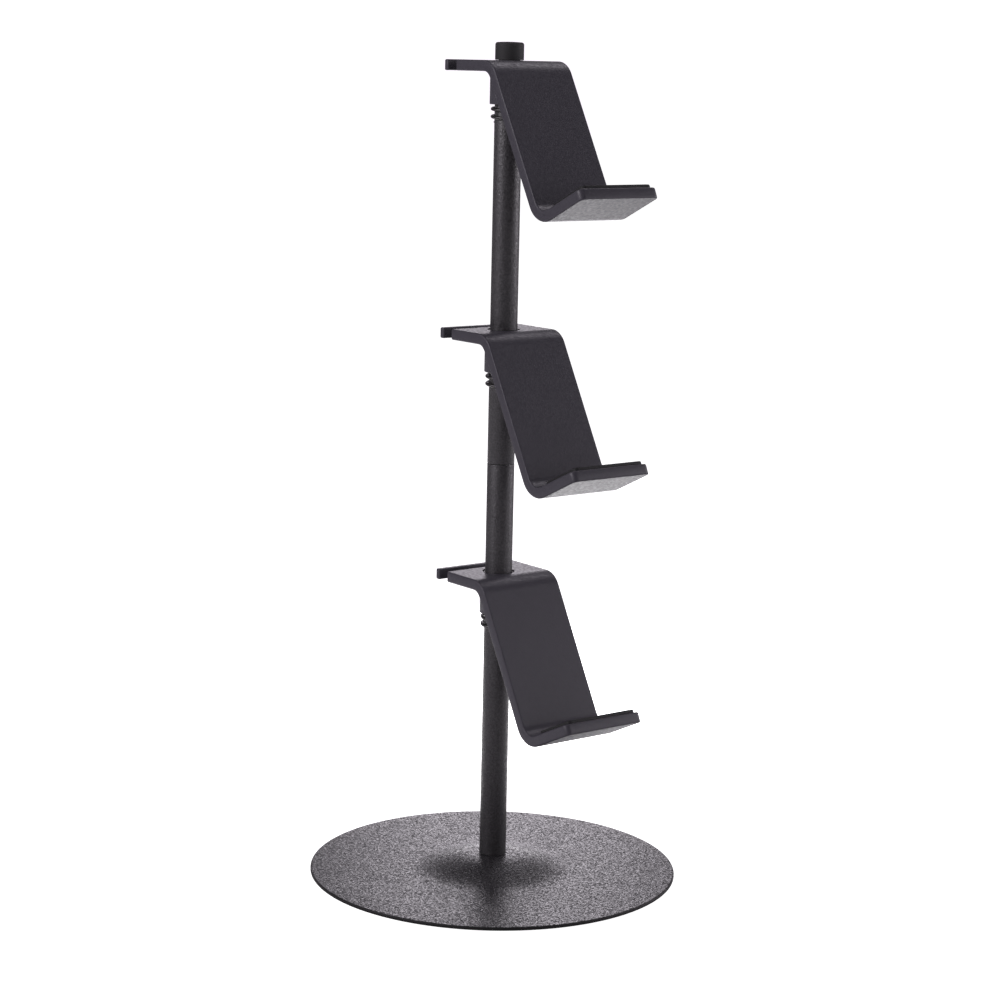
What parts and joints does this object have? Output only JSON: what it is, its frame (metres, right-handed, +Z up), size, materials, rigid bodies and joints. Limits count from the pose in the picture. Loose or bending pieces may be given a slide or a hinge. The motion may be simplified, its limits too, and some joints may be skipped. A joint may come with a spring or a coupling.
{
  "type": "three-tier device stand",
  "caption": "Freestanding disc-base pole stand with stacked swivelling J-shaped cradles that hold phones or controllers and slide to any height on spring clips.",
  "frame": {"origin": "centre of the base's underside, on the surface that it stands on", "axes": "+Z up along the pole, -Y the way the cradles face, +X to the right of someone facing the cradles' front"},
  "size_m": [0.22, 0.22, 0.494],
  "materials": {
    "powder_coat": "fine sand-texture black powder coat",
    "cradle_plastic": "satin-matt moulded black",
    "cap_plastic": "smooth semi-gloss black",
    "pad_rubber": "matt black rubber",
    "bush_nylon": "smooth black nylon",
    "spring_wire": "black oxide spring wire",
    "zinc_steel": "bright zinc plate",
    "foot_foam": "matt black foam"
  },
  "bodies": {
    "stand": {"base_foot_ring": "foot_foam", "base_plate": "powder_coat", "base_washer": "zinc_steel", "base_bolt": "zinc_steel", "pole_foot_insert": "zinc_steel", "lower_pole": "powder_coat", "lower_pole_insert": "zinc_steel", "pole_joint_stud": "zinc_steel", "upper_pole_insert": "zinc_steel", "upper_pole": "powder_coat", "top_cap": "cap_plastic"},
    "top_clip": {"top_spring_clip": "spring_wire"},
    "top_tray": {"top_cradle": "cradle_plastic", "top_lip_pad": "pad_rubber", "top_pole_bush": "bush_nylon"},
    "middle_clip": {"middle_spring_clip": "spring_wire"},
    "middle_tray": {"middle_cradle": "cradle_plastic", "middle_lip_pad": "pad_rubber", "middle_pole_bush": "bush_nylon"},
    "bottom_clip": {"bottom_spring_clip": "spring_wire"},
    "bottom_tray": {"bottom_cradle": "cradle_plastic", "bottom_lip_pad": "pad_rubber", "bottom_pole_bush": "bush_nylon"}
  },
  "joints": [
    {"name": "top_height", "type": "slide", "parent": "stand", "child": "top_clip", "axis": [0, 0, 1], "range_m": [-0.11, 0]},
    {"name": "top_swivel", "type": "hinge", "parent": "top_clip", "child": "top_tray", "pos_m": [0, 0, 0.4835], "axis": [0, 0, 1], "continuous": true},
    {"name": "middle_height", "type": "slide", "parent": "stand", "child": "middle_clip", "axis": [0, 0, 1], "range_m": [-0.1, 0.11]},
    {"name": "middle_swivel", "type": "hinge", "parent": "middle_clip", "child": "middle_tray", "pos_m": [0, 0, 0.329], "axis": [0, 0, 1], "continuous": true},
    {"name": "bottom_height", "type": "slide", "parent": "stand", "child": "bottom_clip", "axis": [0, 0, 1], "range_m": [-0.09, 0.1]},
    {"name": "bottom_swivel", "type": "hinge", "parent": "bottom_clip", "child": "bottom_tray", "pos_m": [0, 0, 0.185], "axis": [0, 0, 1], "continuous": true}
  ]
}
